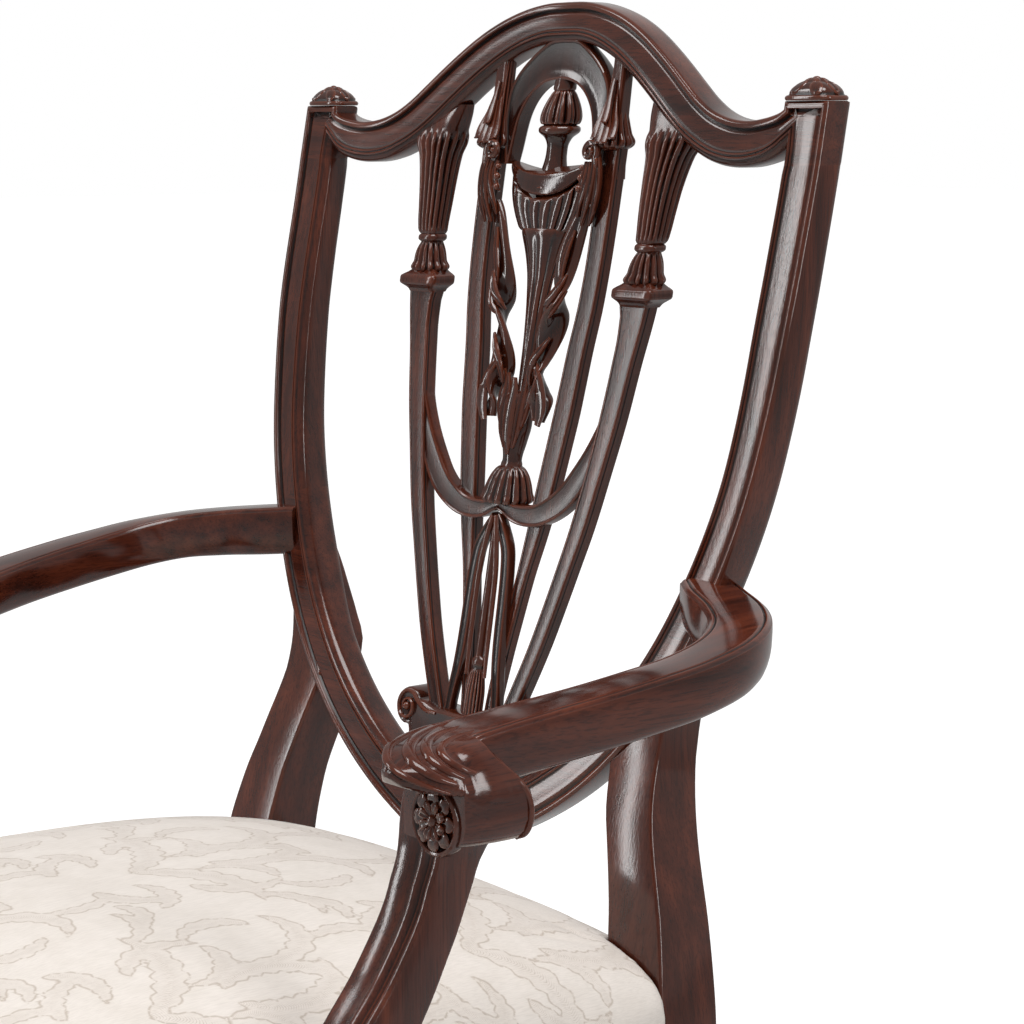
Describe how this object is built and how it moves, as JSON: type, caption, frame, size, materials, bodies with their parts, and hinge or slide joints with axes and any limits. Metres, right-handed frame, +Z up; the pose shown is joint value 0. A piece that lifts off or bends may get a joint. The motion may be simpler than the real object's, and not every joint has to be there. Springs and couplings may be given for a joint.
{
  "type": "shield back armchair",
  "caption": "Carved shield back dining armchair with an urn and swag splat, scrolled arms and an upholstered seat.",
  "frame": {"origin": "middle of the bounding box of the chair, at floor height", "axes": "+Z up, the seat opens towards -Y, +X to the right of someone who looks along +Y at the front of the chair"},
  "size_m": [0.604, 0.5714, 0.972],
  "materials": {
    "mahogany": "dark glossy polish",
    "frame_wood": "bare planed",
    "webbing": "woven jute",
    "stuffing": "curled hair pad",
    "damask": "ivory figured weave",
    "dust_cloth": "thin black cloth",
    "steel": "plain",
    "glide": "nylon"
  },
  "bodies": {
    "root": {"rear_leg_and_stile_left": "mahogany", "rear_leg_and_stile_right": "mahogany", "crest_rail": "mahogany", "ear_carving_left": "mahogany", "ear_carving_right": "mahogany", "shield_lower_rail": "mahogany", "splat_shoe": "mahogany", "outer_banister_left": "mahogany", "outer_banister_right": "mahogany", "inner_banister_left": "mahogany", "inner_banister_right": "mahogany", "splat_arch": "mahogany", "splat_urn": "mahogany", "urn_finial": "mahogany", "splat_drapery_left": "mahogany", "splat_drapery_right": "mahogany", "splat_bell": "mahogany", "splat_swag_left": "mahogany", "splat_swag_right": "mahogany", "splat_strands": "mahogany", "arm_left": "mahogany", "arm_right": "mahogany", "arm_support_left": "mahogany", "arm_support_right": "mahogany", "arm_support_rosette_left": "mahogany", "arm_support_rosette_right": "mahogany", "front_leg_left": "mahogany", "front_leg_right": "mahogany", "seat_rail_side_left": "frame_wood", "seat_rail_side_right": "frame_wood", "seat_rail_front": "frame_wood", "seat_rail_rear": "frame_wood", "corner_block_front_left": "frame_wood", "corner_block_front_right": "frame_wood", "corner_block_rear_left": "frame_wood", "corner_block_rear_right": "frame_wood", "seat_webbing": "webbing", "seat_stuffing": "stuffing", "seat_cover": "damask", "dust_cloth": "dust_cloth", "arm_screw_left": "steel", "arm_screw_right": "steel", "support_screw_upper_left": "steel", "support_screw_upper_right": "steel", "support_screw_lower_left": "steel", "support_screw_lower_right": "steel", "block_screw_front_a_left": "steel", "block_screw_front_a_right": "steel", "block_screw_front_b_left": "steel", "block_screw_front_b_right": "steel", "block_screw_rear_a_left": "steel", "block_screw_rear_a_right": "steel", "block_screw_rear_b_left": "steel", "block_screw_rear_b_right": "steel", "foot_glide_front_left": "glide", "foot_glide_front_right": "glide", "foot_glide_rear_left": "glide", "foot_glide_rear_right": "glide"}
  },
  "joints": []
}
